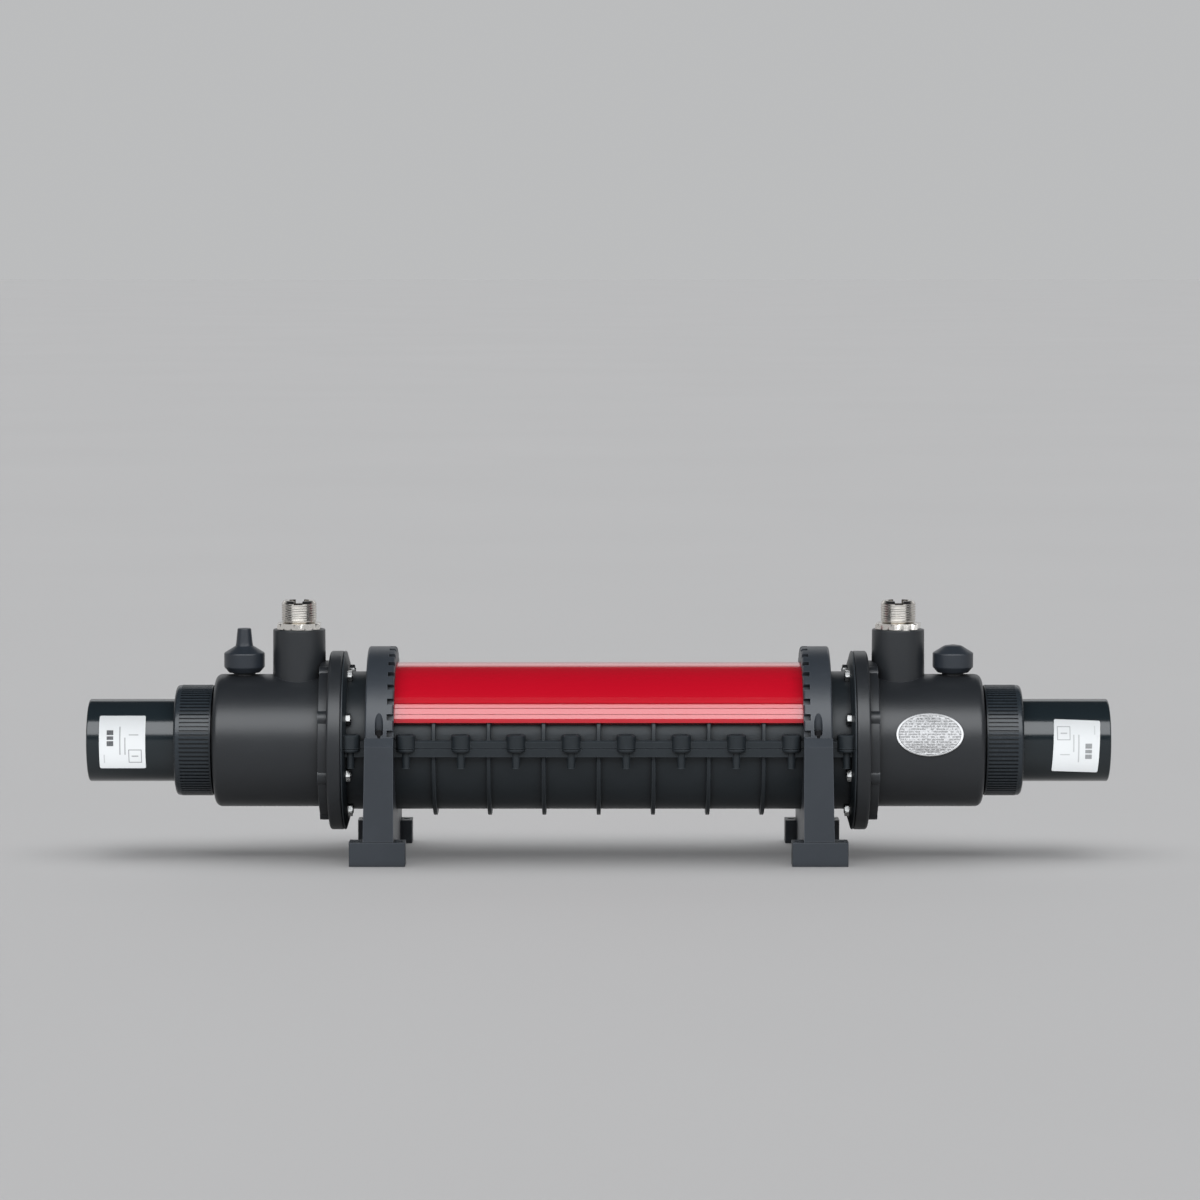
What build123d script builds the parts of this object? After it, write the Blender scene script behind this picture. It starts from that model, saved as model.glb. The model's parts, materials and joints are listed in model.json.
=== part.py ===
"""Pool-water heat exchanger: a split ribbed barrel with a titanium coil inside, an end housing
bolted to each end, a pipe union on each housing, and two clamp brackets to stand on.

Millimetres. X runs along the barrel, -Y is the front, +Z is up. The origin is on the floor under
the middle of the barrel. Radii and distances out along the barrel are measured from its axis and
its middle, and every end piece is made twice, once for each side.
"""
import os
from math import cos, pi, radians, sin, sqrt

from build123d import *

os.makedirs("parts", exist_ok=True)

# --- driving dimensions -------------------------------------------------------------------

axis_height = 86.2          # barrel axis above the floor
barrel_r = 52.0             # outside of the shells
barrel_wall = 5.0
seam_gasket = 0.6           # thickness between the two shells
seam_gasket_y = 54.8        # outer edge of the gasket strips
rib_r = 56.5
rib_width = 3.0
rib_pitch = 41.0
ribs_each_side = 3

seam_y = 60.0               # outer edge of the seam flanges
seam_top = 6.0              # above the axis
seam_bottom = -6.5
seam_edge = 1.2             # chamfer along the top edge
tower_y = 58.5              # line of the seam screws
tower_d = 14.5
tower_top = 10.4
tower_bottom = -2.7
stub_d = 6.4                # screw boss under each tower
stub_bottom = -14.8
screw_hole_d = 4.0
screw_seat = 6.2            # under the screw heads, above the axis
screw_counterbore_r = 4.3
screw_head_r = 4.0
screw_head_height = 2.8
screw_key_r = 1.5           # hexagon key, across its flats / 2

flange_r = 67.5             # end flanges
flange_face = 188.3         # barrel side of the shell flange
flange_lip = 191.6          # where the shell's lip meets the housing's ring
flange_foot_r = 59.5        # where the shell flange's cone starts on its barrel side
spigot_r = 63.0             # part of the shell flange that enters the housing
shell_end = 198.0
flange_gasket = 1.0
flange_back = 202.5         # housing side of the main ring
rim_r = 60.2                # lower rim behind the main ring
rim_back = 209.5
stud_count = 8
stud_circle_r = 55.0
stud_d = 5.0
stud_hole_d = 5.5
stud_boss_d = 14.0
nut_seat = 190.0
nut_across_flats = 8.0
nut_thickness = 5.0
nut_room = 0.7              # around each nut in its seat
stud_end = 184.4

housing_r = 50.0
housing_wall = 5.5
housing_end = 289.0
housing_end_round = 5.0
housing_ring_bore_r = 40.0  # start of the housing's outline, cleared by the water space
housing_floor = 286.0       # inside face of the end wall

port_x = 226.0
port_boss_r = 19.7
port_top = 84.3             # top of the boss above the axis
port_bore_r = 11.2
port_core_r = 15.0          # wide bore under the connector
port_core_top = 62.0
port_seal_r = 14.6          # recess for the seal
port_seal_depth = 1.5
collar_across_flats = 32.0
collar_top = 89.2
port_thread_r = 13.22       # G3/4 male
port_thread_top = 106.0
port_slot_width = 6.3
port_slot_depth = 3.0
port_way_r = 8.5
connector_reach = 20.0      # how far the connector goes down into the boss
coil_stop = 9.0             # below the boss's top, where the coil's end stops

plug_x = 267.5
plug_neck_foot_r = 12.0
plug_neck_r = 8.25
plug_neck_top = 51.2
plug_hole_r = 6.0
plug_knob_r = 15.3
plug_knob_foot_r = 11.6     # its underside
plug_knob_bottom = 51.5
plug_knob_top = 72.7
grip_post_top = 84.9        # vent plug only
plug_thread_pitch = 1.337   # G1/4
plug_core_r = 5.2
plug_crest_r = 5.7
plug_stem_end = 39.5
plug_seal_r = 6.6           # middle of the O-ring
plug_seal_room_r = 8.0

neck_r = 36.3               # crest of the union thread on the housing
neck_root_r = 35.2
neck_end = 308.0
neck_way_r = 26.0
union_pitch = 4.0
union_ring_r = 29.0         # middle of the union's O-ring
union_ring_groove = 1.9     # half the groove's width

nut_r = 41.8                # union nut
nut_inner_end = 290.5
nut_outer_end = 318.5
nut_bore_r = 36.7
nut_grip_end = 314.3        # end of the grip ribs
nut_rim_round = 2.6
nut_rib_count = 82
nut_rib_width = 1.7
nut_shoulder = 5.4          # thickness of the lip that draws the tail in
tail_gap = 0.35             # between the tail and the nut's lip

tail_r = 31.1
tail_shoulder_r = 35.8
tail_shoulder_face = 308.3
tail_end = 384.5
tail_socket_r = 25.1        # 50 mm pipe
tail_socket_depth = 31.0
tail_way_r = 22.5

bracket_inner = 152.3
bracket_outer = 173.5
bracket_ring_r = 71.0
bracket_seat_r = 52.3
clamp_split = 8.9           # height of the joint between saddle and cap
leg_face_y = 76.5
leg_inner_y = 56.5
leg_shoulder = 3.2
leg_foot_x = 175.0
foot_inner_x = 143.6
foot_outer_x = 185.3
foot_height = 17.8
foot_groove = 1.0           # line between leg and foot on the faces that look out
foot_hole_d = 5.5
foot_hole_spacing_x = 32.0
foot_hole_spacing_y = 133.0
clamp_screw_x = 162.9
clamp_screw_y = 68.75
clamp_screw_seat = 11.3
clamp_head_d = 6.4
clamp_screw_length = 20.0   # below the clamp joint
saddle_web = 6.0            # wall left behind the pockets
saddle_relief = (60.0, 4.0) # width and height of the relief under the plate
notch_pitch = 10.0          # degrees
notch_count = 17
notch_depth = 4.0
notch_width = 5.0

cover_r = 59.0
cover_thickness = 2.0
cover_half_length = 155.5
cover_edge_angle = 19.0     # lower edges, degrees above the horizontal
cover_hem_y = 54.8          # the lowest strip of the cover stands upright
cover_flat_angle = 36.2     # narrow flat above the grooves, and its width
cover_flat_width = 5.6
cover_groove_angles = (24.9, 29.7, 33.4)
cover_groove_depth = 0.55
cover_groove_width = 0.8

coil_r = 33.0               # to the middle of the tube
coil_tube_r = 5.0
coil_pitch = 15.0
coil_turns = 18.5
core_r = 25.0
core_wall = 2.5
core_half_length = 150.0
core_nose = 8.0             # length of the cones that close the core
support_x = 146.0
support_width = 6.0
support_rim = 3.0

label_width = 34.6
label_height = 39.4
label_film = 0.25
badge_x = 247.0
badge_lean = 11.0           # degrees above the horizontal
badge_radii = (25.35, 16.0)
badge_thickness = 1.25

sides = (("left", -1), ("right", 1))
barrel_plane = Plane(origin=(0, 0, axis_height), x_dir=(1, 0, 0), z_dir=(0, -1, 0))
barrel_axis = Axis((0, 0, axis_height), (1, 0, 0))
rib_places = [rib_pitch * step for step in range(-ribs_each_side, ribs_each_side + 1)]
tower_places = [rib_pitch * (step + 0.5) for step in range(-5, 5)]


# --- shared forms -------------------------------------------------------------------------

def turn(side, outline, rounds=(), mode=Mode.ADD):
    """Turn an outline of (distance out, radius) points about the barrel's axis.

    rounds holds (corner number, fillet radius) pairs.
    """
    with BuildSketch(barrel_plane) as profile:
        with BuildLine():
            Polyline(*[(side * x, r) for x, r in outline], close=True)
        make_face()
        for corner, radius in rounds:
            x, r = outline[corner]
            fillet(profile.vertices().sort_by_distance((side * x, r))[0], radius)
    revolve(profile.sketch, axis=barrel_axis, mode=mode)


def turn_upright(x, outline, rounds=(), mode=Mode.ADD):
    """Turn an outline of (radius, height above the barrel's axis) about an upright line at x."""
    upright_plane = Plane(origin=(x, 0, axis_height), x_dir=(1, 0, 0), z_dir=(0, -1, 0))
    with BuildSketch(upright_plane) as profile:
        with BuildLine():
            Polyline(*outline, close=True)
        make_face()
        for corner, radius in rounds:
            fillet(profile.vertices().sort_by_distance(outline[corner])[0], radius)
    revolve(profile.sketch, axis=Axis((x, 0, axis_height), (0, 0, 1)), mode=mode)


def level(height):
    """Horizontal plane at a height above the barrel's axis."""
    return Plane.XY.offset(axis_height + height)


def across(x):
    """Plane across the barrel at x, centred on the barrel's axis."""
    return Plane(origin=(x, 0, axis_height), x_dir=(0, 1, 0), z_dir=(1, 0, 0))


def save(piece, name):
    piece.label = name
    export_step(piece, f"parts/{name}.step")


# --- barrel shells ------------------------------------------------------------------------

def shell_round_forms():
    """Tube, end flanges and ribs, turned as full rounds."""
    inner_r = barrel_r - barrel_wall
    turn(1, [(-shell_end, inner_r), (shell_end, inner_r), (shell_end, barrel_r), (-shell_end, barrel_r)])
    for side in (-1, 1):
        turn(
            side,
            [
                (flange_face, barrel_r - 2),
                (shell_end, barrel_r - 2),
                (shell_end, spigot_r),
                (flange_lip, spigot_r),
                (flange_lip, flange_r),
                (flange_lip - 1.0, flange_r),
                (flange_face, flange_foot_r),
            ],
            rounds=[(5, 0.8), (6, 1.0)],
        )
    for x in rib_places:
        half = rib_width / 2
        turn(
            1,
            [
                (x - half - 0.3, barrel_r - 2),
                (x + half + 0.3, barrel_r - 2),
                (x + half, rib_r),
                (x - half, rib_r),
            ],
            rounds=[(2, 0.7), (3, 0.7)],
        )


def seam_flanges():
    """Straight flanges along both seams, with a chamfered top edge."""
    for way in (-1, 1):
        with BuildSketch(across(-flange_face - 1)) as section:
            with BuildLine():
                Polyline(
                    (way * (barrel_r - 3), seam_bottom),
                    (way * (seam_y - 0.5), seam_bottom),
                    (way * seam_y, seam_bottom + 0.5),
                    (way * seam_y, seam_top - seam_edge),
                    (way * (seam_y - seam_edge), seam_top),
                    (way * (barrel_r - 3), seam_top),
                    close=True,
                )
            make_face()
        extrude(section.sketch, amount=2 * (flange_face + 1))


def cut_stud_seats():
    """Stud holes through both shell flanges, and a flat seat for each nut."""
    for side in (-1, 1):
        with BuildSketch(across(side * (nut_seat - nut_thickness - 0.4))) as seats:
            with PolarLocations(stud_circle_r, stud_count, start_angle=22.5):
                Circle(nut_across_flats / 2 + nut_room)
        extrude(seats.sketch, amount=side * (nut_thickness + 0.4), mode=Mode.SUBTRACT)
        with BuildSketch(across(side * (nut_seat - 1))) as holes:
            with PolarLocations(stud_circle_r, stud_count, start_angle=22.5):
                Circle(stud_hole_d / 2)
        extrude(holes.sketch, amount=side * 12, mode=Mode.SUBTRACT)


tower_spots = [(x, way * tower_y) for x in tower_places for way in (-1, 1)]

# one screw tower and the boss that goes under it, standing on the origin
with BuildPart() as tower:
    with BuildSketch():
        Circle(tower_d / 2)
    extrude(amount=tower_top)
    chamfer(tower.faces().sort_by(Axis.Z)[-1].edges(), 0.8)

with BuildPart() as screw_boss:
    with BuildSketch():
        Circle(tower_d / 2)
    extrude(amount=tower_bottom)
    fillet(screw_boss.faces().sort_by(Axis.Z)[0].edges(), 1.8)
    with BuildSketch():
        Circle(stub_d / 2)
    extrude(amount=stub_bottom, taper=1.2)

with BuildPart() as upper_shell:
    shell_round_forms()
    seam_flanges()
    with Locations(*[(x, y, axis_height) for x, y in tower_spots]):
        add(tower.part)
    # the bore is cleared again, because the towers reach into it near the seam
    with BuildSketch(across(-shell_end)):
        Circle(barrel_r - barrel_wall)
    extrude(amount=2 * shell_end, mode=Mode.SUBTRACT)
    split(bisect_by=level(seam_gasket / 2), keep=Keep.TOP)
    with BuildSketch(level(0)):
        with Locations(*tower_spots):
            Circle(screw_hole_d / 2 + 0.25)
    extrude(amount=tower_top + 1, mode=Mode.SUBTRACT)
    with BuildSketch(level(screw_seat)):
        with Locations(*tower_spots):
            Circle(screw_counterbore_r)
    extrude(amount=6, mode=Mode.SUBTRACT)
    cut_stud_seats()
save(upper_shell.part, "upper_shell")

with BuildPart() as lower_shell:
    shell_round_forms()
    seam_flanges()
    with Locations(*[(x, y, axis_height) for x, y in tower_spots]):
        add(screw_boss.part)
    with BuildSketch(across(-shell_end)):
        Circle(barrel_r - barrel_wall)
    extrude(amount=2 * shell_end, mode=Mode.SUBTRACT)
    split(bisect_by=level(-seam_gasket / 2), keep=Keep.BOTTOM)
    with BuildSketch(level(0)):
        with Locations(*tower_spots):
            Circle(screw_hole_d / 2)
    extrude(amount=stub_bottom + 2, mode=Mode.SUBTRACT)
    cut_stud_seats()
save(lower_shell.part, "lower_shell")

for name, way in (("front", -1), ("rear", 1)):
    with BuildPart() as shell_gasket:
        with BuildSketch(level(-seam_gasket / 2)):
            with Locations((0, way * (barrel_r - barrel_wall + seam_gasket_y) / 2)):
                Rectangle(2 * shell_end, seam_gasket_y - barrel_r + barrel_wall)
        extrude(amount=seam_gasket)
    save(shell_gasket.part, f"{name}_shell_gasket")

with BuildPart() as shell_screws:
    with BuildSketch(level(stub_bottom + 3)):
        with Locations(*tower_spots):
            Circle(screw_hole_d / 2 - 0.05)
    extrude(amount=screw_seat - stub_bottom - 3)
    with BuildSketch(level(screw_seat)):
        with Locations(*tower_spots):
            Circle(screw_head_r)
    extrude(amount=screw_head_height)
    head_rims = shell_screws.faces().filter_by(Axis.Z).group_by(Axis.Z)[-1].edges()
    chamfer(head_rims, 0.6)
    with BuildSketch(level(screw_seat + 1.0)):
        with Locations(*tower_spots):
            RegularPolygon(screw_key_r, 6, major_radius=False)
    extrude(amount=3, mode=Mode.SUBTRACT)
save(shell_screws.part, "shell_screws")

# --- red top cover ------------------------------------------------------------------------

with BuildPart() as top_cover:
    inner_r = cover_r - cover_thickness
    arc_size = 180 - 2 * cover_edge_angle
    with BuildSketch(across(-cover_half_length)) as cover_section:
        with BuildLine():
            outer_arc = CenterArc((0, 0), cover_r, cover_edge_angle, arc_size)
            inner_arc = CenterArc((0, 0), inner_r, cover_edge_angle, arc_size)
            Line(outer_arc @ 0, inner_arc @ 0)
            Line(outer_arc @ 1, inner_arc @ 1)
        make_face()
        # lips that reach down to the barrel
        for angle in (cover_edge_angle + 1.2, 180 - cover_edge_angle - 1.2):
            with PolarLocations((barrel_r + 0.2 + inner_r + 0.5) / 2, 1, start_angle=angle):
                Rectangle(inner_r + 0.5 - barrel_r - 0.2, 2.0)
        # fine grooves above each lower edge
        for angle in cover_groove_angles:
            for turned in (angle, 180 - angle):
                with PolarLocations(cover_r, 1, start_angle=turned):
                    Rectangle(2 * cover_groove_depth, cover_groove_width, mode=Mode.SUBTRACT)
        flat_r = sqrt(cover_r**2 - cover_flat_width**2 / 4)
        for turned in (cover_flat_angle, 180 - cover_flat_angle):
            with PolarLocations(flat_r + 1, 1, start_angle=turned):
                Rectangle(2, cover_flat_width, mode=Mode.SUBTRACT)
        # upright hems
        with Locations((-cover_r, 0), (cover_r, 0)):
            Rectangle(2 * (cover_r - cover_hem_y), cover_r, mode=Mode.SUBTRACT)
    extrude(amount=2 * cover_half_length)
    for x in rib_places:
        turn(
            1,
            [(x - 2, barrel_r - 1), (x + 2, barrel_r - 1), (x + 2, rib_r + 0.3), (x - 2, rib_r + 0.3)],
            mode=Mode.SUBTRACT,
        )
save(top_cover.part, "top_cover")

# --- end housings and what bolts them on --------------------------------------------------

recess_floor = shell_end + flange_gasket
cavity_r = housing_r - housing_wall

for name, side in sides:
    with BuildPart() as housing:
        # body, main ring, lower rim and union neck
        turn(
            side,
            [
                (flange_lip + 0.2, housing_ring_bore_r),
                (flange_lip + 0.2, flange_r),
                (flange_back, flange_r),
                (flange_back, rim_r),
                (rim_back, rim_r),
                (rim_back, housing_r),
                (housing_end, housing_r),
                (housing_end, neck_root_r),
                (neck_end, neck_root_r),
                (neck_end, neck_way_r),
                (housing_floor, neck_way_r),
            ],
            rounds=[(1, 1.6), (2, 2.2), (4, 1.0), (6, housing_end_round), (8, 0.8)],
        )
        # blind bosses for the studs
        with BuildSketch(across(side * flange_back)):
            with PolarLocations(stud_circle_r, stud_count, start_angle=22.5):
                Circle(stud_boss_d / 2)
        extrude(amount=side * (rim_back - flange_back))
        # union thread as closed rings
        for ring in range(4):
            crest = housing_end + 3.4 + union_pitch * ring
            turn(
                side,
                [
                    (crest - 1.5, neck_root_r - 0.5),
                    (crest + 1.5, neck_root_r - 0.5),
                    (crest + 0.5, neck_r),
                    (crest - 0.5, neck_r),
                ],
            )
        # port boss, foot of the boss, and plug neck
        turn_upright(
            side * port_x,
            [(0, 30), (port_boss_r + 0.5, 30), (port_boss_r, port_top), (0, port_top)],
            rounds=[(2, 0.8)],
        )
        turn_upright(
            side * plug_x,
            [
                (0, 38),
                (plug_neck_foot_r, 38),
                (plug_neck_r, 47),
                (plug_neck_r, plug_neck_top),
                (0, plug_neck_top),
            ],
            rounds=[(3, 0.4)],
        )
        # water space, recess for the shell flange and its gasket, way out through the neck
        turn(
            side,
            [
                (flange_lip - 1, 0),
                (flange_lip - 1, spigot_r + 0.2),
                (recess_floor, spigot_r + 0.2),
                (recess_floor, cavity_r),
                (housing_floor - 6, cavity_r),
                (housing_floor, cavity_r - 6.5),
                (housing_end + 1, neck_way_r),
                (neck_end + 1, neck_way_r),
                (neck_end + 1, 0),
            ],
            mode=Mode.SUBTRACT,
        )
        # O-ring groove in the neck's face
        turn(
            side,
            [
                (neck_end - 2.6, union_ring_r - union_ring_groove),
                (neck_end + 1, union_ring_r - union_ring_groove),
                (neck_end + 1, union_ring_r + union_ring_groove),
                (neck_end - 2.6, union_ring_r + union_ring_groove),
            ],
            mode=Mode.SUBTRACT,
        )
        # port bore, cored wider below, with a recess for the seal
        turn_upright(
            side * port_x,
            [
                (0, 20),
                (port_core_r, 20),
                (port_core_r, port_core_top),
                (port_bore_r, port_core_top),
                (port_bore_r, port_top - port_seal_depth),
                (port_seal_r, port_top - port_seal_depth),
                (port_seal_r, port_top + 1),
                (0, port_top + 1),
            ],
            mode=Mode.SUBTRACT,
        )
        turn_upright(
            side * plug_x,
            [(0, 30), (plug_hole_r, 30), (plug_hole_r, plug_neck_top + 1), (0, plug_neck_top + 1)],
            mode=Mode.SUBTRACT,
        )
        # stud holes
        with BuildSketch(across(side * (recess_floor - 1))):
            with PolarLocations(stud_circle_r, stud_count, start_angle=22.5):
                Circle(stud_d / 2)
        extrude(amount=side * (rim_back - 2 - recess_floor), mode=Mode.SUBTRACT)
    save(housing.part, f"{name}_housing")

    with BuildPart() as gasket:
        with BuildSketch(across(side * shell_end)):
            Circle(spigot_r - 0.3)
            Circle(barrel_r - barrel_wall + 0.3, mode=Mode.SUBTRACT)
            with PolarLocations(stud_circle_r, stud_count, start_angle=22.5):
                Circle(stud_hole_d / 2 + 0.3, mode=Mode.SUBTRACT)
        extrude(amount=side * flange_gasket)
    save(gasket.part, f"{name}_flange_gasket")

    with BuildPart() as studs:
        with BuildSketch(across(side * stud_end)):
            with PolarLocations(stud_circle_r, stud_count, start_angle=22.5):
                Circle(stud_d / 2 - 0.05)
        extrude(amount=side * (rim_back - 4 - stud_end))
        stud_tips = studs.faces().filter_by(Axis.X).sort_by(Axis.X)
        tip_rims = (stud_tips[:stud_count] if side > 0 else stud_tips[-stud_count:]).edges()
        chamfer(tip_rims, 0.5)
    save(studs.part, f"{name}_flange_studs")

    with BuildPart() as nuts:
        with BuildSketch(across(side * (nut_seat - nut_thickness))):
            with PolarLocations(stud_circle_r, stud_count, start_angle=22.5):
                RegularPolygon(nut_across_flats / 2, 6, major_radius=False, rotation=30)
                Circle(stud_d / 2, mode=Mode.SUBTRACT)
        extrude(amount=side * nut_thickness)
    save(nuts.part, f"{name}_flange_nuts")

# --- port connectors ----------------------------------------------------------------------

for (name, side), hex_turn in zip(sides, (30, 38)):
    with BuildPart() as connector:
        turn_upright(
            side * port_x,
            [
                (0, port_top - connector_reach),
                (port_bore_r - 0.05, port_top - connector_reach),
                (port_bore_r - 0.05, collar_top - 1),
                (port_thread_r, collar_top - 1),
                (port_thread_r, port_thread_top),
                (0, port_thread_top),
            ],
        )
        chamfer(connector.edges().filter_by(GeomType.CIRCLE).group_by(Axis.Z)[-1], 1.0)
        with BuildSketch(level(port_top)):
            with Locations((side * port_x, 0)):
                RegularPolygon(collar_across_flats / 2, 6, major_radius=False, rotation=hex_turn)
        extrude(amount=collar_top - port_top)
        # water way, with a shoulder that the coil's end stops under
        turn_upright(
            side * port_x,
            [
                (0, port_top - connector_reach - 1),
                (coil_tube_r + 0.05, port_top - connector_reach - 1),
                (coil_tube_r + 0.05, port_top - coil_stop),
                (port_way_r, port_top - coil_stop),
                (port_way_r, port_thread_top + 1),
                (0, port_thread_top + 1),
            ],
            mode=Mode.SUBTRACT,
        )
        with BuildSketch(level(port_thread_top - port_slot_depth)):
            with Locations((side * port_x, 0)):
                Rectangle(port_slot_width, 4 * port_thread_r)
        extrude(amount=port_slot_depth + 1, mode=Mode.SUBTRACT)
    save(connector.part, f"{name}_port_connector")

    with BuildPart() as port_seal:
        turn_upright(
            side * port_x,
            [
                (port_bore_r + 0.1, port_top - port_seal_depth + 0.05),
                (port_seal_r - 0.2, port_top - port_seal_depth + 0.05),
                (port_seal_r - 0.2, port_top - 0.05),
                (port_bore_r + 0.1, port_top - 0.05),
            ],
        )
    save(port_seal.part, f"{name}_port_seal")

# --- vent and drain plugs -----------------------------------------------------------------

for name, side in sides:
    with BuildPart() as plug:
        # knob: a plain drum, drawn in towards the neck below and domed above
        turn_upright(
            side * plug_x,
            [
                (0, plug_knob_bottom),
                (plug_knob_foot_r, plug_knob_bottom),
                (plug_knob_r, plug_knob_bottom + 4.2),
                (plug_knob_r, plug_knob_top - 6.4),
                (6.5, plug_knob_top - 0.9),
                (0, plug_knob_top),
            ],
            rounds=[(1, 0.8), (2, 1.5), (3, 1.5), (4, 5)],
        )
        if side < 0:
            # tall grip post on the vent plug
            turn_upright(
                side * plug_x,
                [(0, 66), (7.6, 66), (6.2, 74), (5.1, grip_post_top), (0, grip_post_top)],
                rounds=[(3, 1.0)],
            )
        # recess for the seal, then the threaded stem, its thread as closed rings
        turn_upright(
            side * plug_x,
            [
                (0, plug_knob_bottom - 1),
                (plug_seal_room_r, plug_knob_bottom - 1),
                (plug_seal_room_r, plug_knob_bottom + 1.9),
                (0, plug_knob_bottom + 1.9),
            ],
            mode=Mode.SUBTRACT,
        )
        turn_upright(
            side * plug_x,
            [(0, plug_stem_end), (plug_core_r, plug_stem_end), (plug_core_r, 56), (0, 56)],
            rounds=[(1, 0.6)],
        )
        for ring in range(7):
            crest = plug_stem_end + 1.5 + plug_thread_pitch * ring
            turn_upright(
                side * plug_x,
                [
                    (plug_core_r - 0.5, crest - 0.55),
                    (plug_core_r - 0.5, crest + 0.55),
                    (plug_crest_r, crest + 0.15),
                    (plug_crest_r, crest - 0.15),
                ],
            )
    save(plug.part, f"{name}_plug")

    with BuildPart() as plug_seal:
        seal_plane = Plane(origin=(side * plug_x, 0, axis_height), x_dir=(1, 0, 0), z_dir=(0, -1, 0))
        with BuildSketch(seal_plane):
            with Locations((plug_seal_r, plug_knob_bottom + 0.8)):
                Circle(1.05)
        revolve(axis=Axis((side * plug_x, 0, axis_height), (0, 0, 1)))
    save(plug_seal.part, f"{name}_plug_seal")

# --- pipe unions --------------------------------------------------------------------------

for name, side in sides:
    with BuildPart() as union_seal:
        with BuildSketch(barrel_plane):
            with Locations((side * (neck_end - 1.2), union_ring_r)):
                Circle(1.35)
        revolve(axis=barrel_axis)
    save(union_seal.part, f"{name}_union_seal")

    with BuildPart() as tail:
        turn(
            side,
            [
                (tail_shoulder_face, tail_way_r),
                (tail_shoulder_face, tail_shoulder_r),
                (nut_outer_end - nut_shoulder - 0.4, tail_shoulder_r),
                (nut_outer_end - nut_shoulder - 0.4, tail_r),
                (tail_end, tail_r),
                (tail_end, tail_socket_r),
                (tail_end - tail_socket_depth, tail_socket_r),
                (tail_end - tail_socket_depth, tail_way_r),
            ],
            rounds=[(2, 0.8), (4, 1.3)],
        )
    save(tail.part, f"{name}_union_tail")

    with BuildPart() as nut:
        # grip ribs between a thin inner rim and a rounded outer one
        with BuildSketch(across(side * (nut_inner_end + 1.2))):
            Circle(nut_r - 1.0)
            with PolarLocations(nut_r - 0.95, nut_rib_count):
                Rectangle(1.9, nut_rib_width)
        extrude(amount=side * (nut_grip_end - nut_inner_end - 1.2))
        turn(
            side,
            [
                (nut_inner_end, 30),
                (nut_inner_end, nut_r - 0.4),
                (nut_inner_end + 1.3, nut_r - 0.2),
                (nut_inner_end + 1.3, 30),
            ],
            rounds=[(1, 0.3)],
        )
        turn(
            side,
            [
                (nut_grip_end - 0.4, 30),
                (nut_grip_end - 0.4, nut_r - 0.2),
                (nut_outer_end, nut_r - 0.2),
                (nut_outer_end, 30),
            ],
            rounds=[(2, nut_rim_round)],
        )
        turn(
            side,
            [
                (nut_inner_end - 1, 0),
                (nut_inner_end - 1, nut_bore_r),
                (nut_outer_end - nut_shoulder, nut_bore_r),
                (nut_outer_end - nut_shoulder, tail_r + tail_gap),
                (nut_outer_end + 1, tail_r + tail_gap),
                (nut_outer_end + 1, 0),
            ],
            mode=Mode.SUBTRACT,
        )
    save(nut.part, f"{name}_union_nut")

# --- labels and badge ---------------------------------------------------------------------

label_places = ((1.2, 340.0, 0.0), (-1.7, 341.0, 2.0))    # height, inner edge, tilt in degrees

for (name, side), (centre_height, inner_edge, label_tilt) in zip(sides, label_places):
    with BuildPart() as label:
        turn(
            side,
            [
                (inner_edge - 2, tail_r + 0.02),
                (inner_edge - 2, tail_r + 0.02 + label_film),
                (inner_edge + label_width + 2, tail_r + 0.02 + label_film),
                (inner_edge + label_width + 2, tail_r + 0.02),
            ],
        )
        front = Plane(
            origin=(side * (inner_edge + label_width / 2), 0, axis_height + centre_height),
            x_dir=(1, 0, 0),
            z_dir=(0, -1, 0),
        )
        with BuildSketch(front):
            RectangleRounded(label_width, label_height, 1.2, rotation=-label_tilt)
        extrude(amount=40, mode=Mode.INTERSECT)
    save(label.part, f"{name}_tail_label")

with BuildPart() as badge:
    badge_half = badge_radii[0] + 5
    turn(
        1,
        [
            (badge_x - badge_half, housing_r + 0.05),
            (badge_x - badge_half, housing_r + 0.05 + badge_thickness),
            (badge_x + badge_half, housing_r + 0.05 + badge_thickness),
            (badge_x + badge_half, housing_r + 0.05),
        ],
    )
    badge_way = (0, -cos(radians(badge_lean)), sin(radians(badge_lean)))
    with BuildSketch(Plane(origin=(badge_x, 0, axis_height), x_dir=(1, 0, 0), z_dir=badge_way)):
        Ellipse(*badge_radii)
    extrude(amount=60, mode=Mode.INTERSECT)
save(badge.part, "badge")

# --- brackets -----------------------------------------------------------------------------

bracket_width = bracket_outer - bracket_inner
floor = -axis_height
foot_top = foot_height - axis_height
foot_hole_x = (bracket_inner + leg_foot_x + 1.0) / 2

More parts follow.
